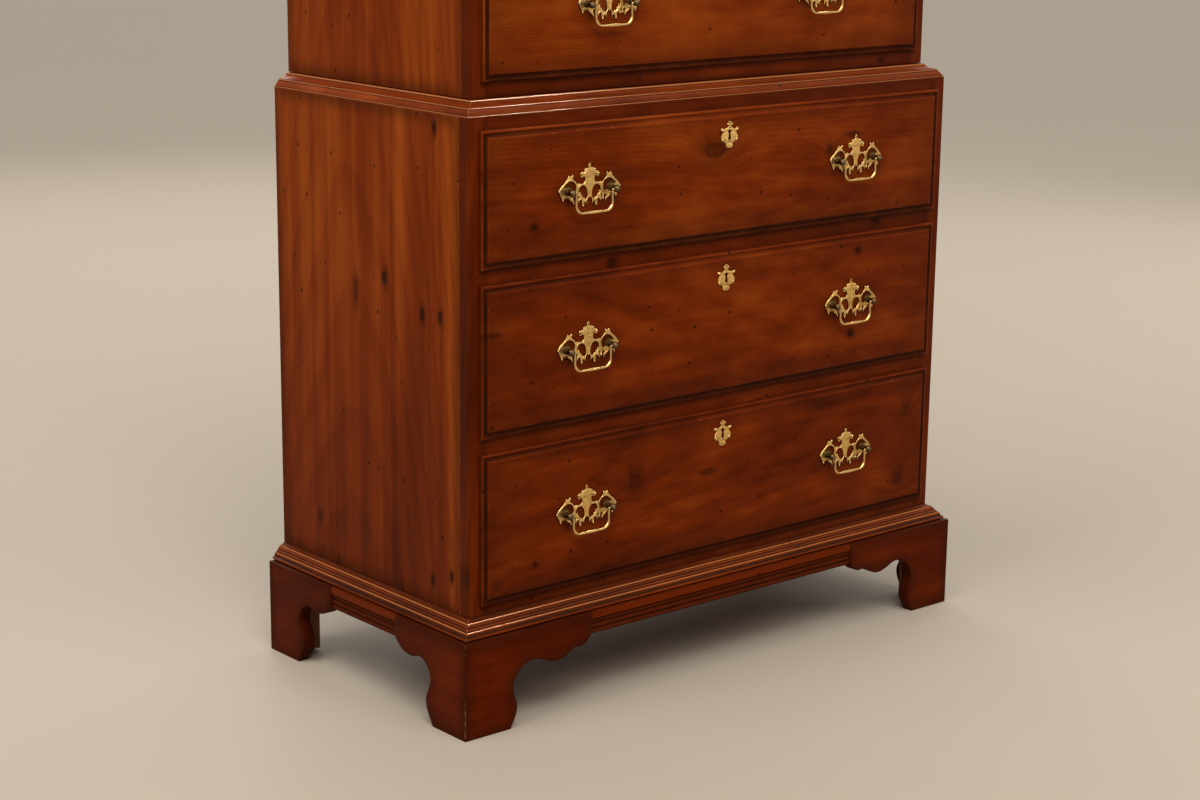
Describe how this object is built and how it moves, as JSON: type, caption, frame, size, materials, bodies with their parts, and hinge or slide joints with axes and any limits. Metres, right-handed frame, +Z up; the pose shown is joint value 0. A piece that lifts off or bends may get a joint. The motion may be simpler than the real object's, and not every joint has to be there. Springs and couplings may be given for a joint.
{
  "type": "highboy",
  "caption": "Chest-on-chest in stained knotty pine: sliding lipped drawers with swinging brass bail pulls, moulded waist and cornice, bracket feet and a reeded apron.",
  "frame": {"origin": "on the floor, under the middle of the footprint, which is the feet at the front and sides and the back boards behind", "axes": "+Z up, -Y towards the front with the drawers, +X to the right as seen from the front"},
  "size_m": [1.017, 0.5085, 1.5895],
  "materials": {
    "stained_pine": "reddish brown stain under satin lacquer, knotty, darker in the quirks and at the edges",
    "drawer_front_pine": "the same stain, a little darker, with the grain running across",
    "tray_wood": "pale, unstained, sanded",
    "back_panel": "plain board, thinly stained, matt",
    "aged_brass": "aged yellow brass, dark in the recesses and bright on the edges"
  },
  "bodies": {
    "case": {"lower_side_left": "stained_pine", "lower_side_right": "stained_pine", "lower_face_frame": "stained_pine", "lower_back": "back_panel", "base_board": "stained_pine", "apron_frame": "stained_pine", "foot_front_left": "stained_pine", "foot_front_right": "stained_pine", "foot_rear_left": "stained_pine", "foot_rear_right": "stained_pine", "waist_board": "stained_pine", "upper_side_left": "stained_pine", "upper_side_right": "stained_pine", "upper_face_frame": "stained_pine", "upper_back": "back_panel", "cornice": "stained_pine", "top_board": "stained_pine"},
    "lower_bottom_drawer": {"lower_bottom_drawer_front": "drawer_front_pine", "lower_bottom_drawer_tray": "tray_wood", "lower_bottom_drawer_escutcheon": "aged_brass", "lower_bottom_drawer_plate_left": "aged_brass", "lower_bottom_drawer_plate_right": "aged_brass"},
    "lower_bottom_drawer_bail_left": {"lower_bottom_drawer_bail_left": "aged_brass"},
    "lower_bottom_drawer_bail_right": {"lower_bottom_drawer_bail_right": "aged_brass"},
    "lower_middle_drawer": {"lower_middle_drawer_front": "drawer_front_pine", "lower_middle_drawer_tray": "tray_wood", "lower_middle_drawer_escutcheon": "aged_brass", "lower_middle_drawer_plate_left": "aged_brass", "lower_middle_drawer_plate_right": "aged_brass"},
    "lower_middle_drawer_bail_left": {"lower_middle_drawer_bail_left": "aged_brass"},
    "lower_middle_drawer_bail_right": {"lower_middle_drawer_bail_right": "aged_brass"},
    "lower_top_drawer": {"lower_top_drawer_front": "drawer_front_pine", "lower_top_drawer_tray": "tray_wood", "lower_top_drawer_escutcheon": "aged_brass", "lower_top_drawer_plate_left": "aged_brass", "lower_top_drawer_plate_right": "aged_brass"},
    "lower_top_drawer_bail_left": {"lower_top_drawer_bail_left": "aged_brass"},
    "lower_top_drawer_bail_right": {"lower_top_drawer_bail_right": "aged_brass"},
    "upper_bottom_drawer": {"upper_bottom_drawer_front": "drawer_front_pine", "upper_bottom_drawer_tray": "tray_wood", "upper_bottom_drawer_escutcheon": "aged_brass", "upper_bottom_drawer_plate_left": "aged_brass", "upper_bottom_drawer_plate_right": "aged_brass"},
    "upper_bottom_drawer_bail_left": {"upper_bottom_drawer_bail_left": "aged_brass"},
    "upper_bottom_drawer_bail_right": {"upper_bottom_drawer_bail_right": "aged_brass"},
    "upper_middle_drawer": {"upper_middle_drawer_front": "drawer_front_pine", "upper_middle_drawer_tray": "tray_wood", "upper_middle_drawer_escutcheon": "aged_brass", "upper_middle_drawer_plate_left": "aged_brass", "upper_middle_drawer_plate_right": "aged_brass"},
    "upper_middle_drawer_bail_left": {"upper_middle_drawer_bail_left": "aged_brass"},
    "upper_middle_drawer_bail_right": {"upper_middle_drawer_bail_right": "aged_brass"},
    "upper_left_drawer": {"upper_left_drawer_front": "drawer_front_pine", "upper_left_drawer_tray": "tray_wood", "upper_left_drawer_plate": "aged_brass"},
    "upper_left_drawer_bail": {"upper_left_drawer_bail": "aged_brass"},
    "upper_right_drawer": {"upper_right_drawer_front": "drawer_front_pine", "upper_right_drawer_tray": "tray_wood", "upper_right_drawer_plate": "aged_brass"},
    "upper_right_drawer_bail": {"upper_right_drawer_bail": "aged_brass"}
  },
  "joints": [
    {"name": "lower_bottom_drawer_slide", "type": "slide", "parent": "case", "child": "lower_bottom_drawer", "axis": [0, -1, 0], "range_m": [0, 0.33]},
    {"name": "lower_bottom_drawer_bail_left_swing", "type": "hinge", "parent": "lower_bottom_drawer", "child": "lower_bottom_drawer_bail_left", "pos_m": [-0.271, -0.24655, 0.2975], "axis": [-1, 0, 0], "range_deg": [-12, 190]},
    {"name": "lower_bottom_drawer_bail_right_swing", "type": "hinge", "parent": "lower_bottom_drawer", "child": "lower_bottom_drawer_bail_right", "pos_m": [0.271, -0.24655, 0.2975], "axis": [-1, 0, 0], "range_deg": [-12, 190]},
    {"name": "lower_middle_drawer_slide", "type": "slide", "parent": "case", "child": "lower_middle_drawer", "axis": [0, -1, 0], "range_m": [0, 0.33]},
    {"name": "lower_middle_drawer_bail_left_swing", "type": "hinge", "parent": "lower_middle_drawer", "child": "lower_middle_drawer_bail_left", "pos_m": [-0.271, -0.24655, 0.541], "axis": [-1, 0, 0], "range_deg": [-12, 190]},
    {"name": "lower_middle_drawer_bail_right_swing", "type": "hinge", "parent": "lower_middle_drawer", "child": "lower_middle_drawer_bail_right", "pos_m": [0.271, -0.24655, 0.541], "axis": [-1, 0, 0], "range_deg": [-12, 190]},
    {"name": "lower_top_drawer_slide", "type": "slide", "parent": "case", "child": "lower_top_drawer", "axis": [0, -1, 0], "range_m": [0, 0.33]},
    {"name": "lower_top_drawer_bail_left_swing", "type": "hinge", "parent": "lower_top_drawer", "child": "lower_top_drawer_bail_left", "pos_m": [-0.271, -0.24655, 0.7695], "axis": [-1, 0, 0], "range_deg": [-12, 190]},
    {"name": "lower_top_drawer_bail_right_swing", "type": "hinge", "parent": "lower_top_drawer", "child": "lower_top_drawer_bail_right", "pos_m": [0.271, -0.24655, 0.7695], "axis": [-1, 0, 0], "range_deg": [-12, 190]},
    {"name": "upper_bottom_drawer_slide", "type": "slide", "parent": "case", "child": "upper_bottom_drawer", "axis": [0, -1, 0], "range_m": [0, 0.31]},
    {"name": "upper_bottom_drawer_bail_left_swing", "type": "hinge", "parent": "upper_bottom_drawer", "child": "upper_bottom_drawer_bail_left", "pos_m": [-0.214, -0.21795, 1.0275], "axis": [-1, 0, 0], "range_deg": [-12, 190]},
    {"name": "upper_bottom_drawer_bail_right_swing", "type": "hinge", "parent": "upper_bottom_drawer", "child": "upper_bottom_drawer_bail_right", "pos_m": [0.214, -0.21795, 1.0275], "axis": [-1, 0, 0], "range_deg": [-12, 190]},
    {"name": "upper_middle_drawer_slide", "type": "slide", "parent": "case", "child": "upper_middle_drawer", "axis": [0, -1, 0], "range_m": [0, 0.31]},
    {"name": "upper_middle_drawer_bail_left_swing", "type": "hinge", "parent": "upper_middle_drawer", "child": "upper_middle_drawer_bail_left", "pos_m": [-0.214, -0.21795, 1.239], "axis": [-1, 0, 0], "range_deg": [-12, 190]},
    {"name": "upper_middle_drawer_bail_right_swing", "type": "hinge", "parent": "upper_middle_drawer", "child": "upper_middle_drawer_bail_right", "pos_m": [0.214, -0.21795, 1.239], "axis": [-1, 0, 0], "range_deg": [-12, 190]},
    {"name": "upper_left_drawer_slide", "type": "slide", "parent": "case", "child": "upper_left_drawer", "axis": [0, -1, 0], "range_m": [0, 0.31]},
    {"name": "upper_left_drawer_bail_swing", "type": "hinge", "parent": "upper_left_drawer", "child": "upper_left_drawer_bail", "pos_m": [-0.22362, -0.21795, 1.4255], "axis": [-1, 0, 0], "range_deg": [-12, 190]},
    {"name": "upper_right_drawer_slide", "type": "slide", "parent": "case", "child": "upper_right_drawer", "axis": [0, -1, 0], "range_m": [0, 0.31]},
    {"name": "upper_right_drawer_bail_swing", "type": "hinge", "parent": "upper_right_drawer", "child": "upper_right_drawer_bail", "pos_m": [0.22362, -0.21795, 1.4255], "axis": [-1, 0, 0], "range_deg": [-12, 190]}
  ]
}
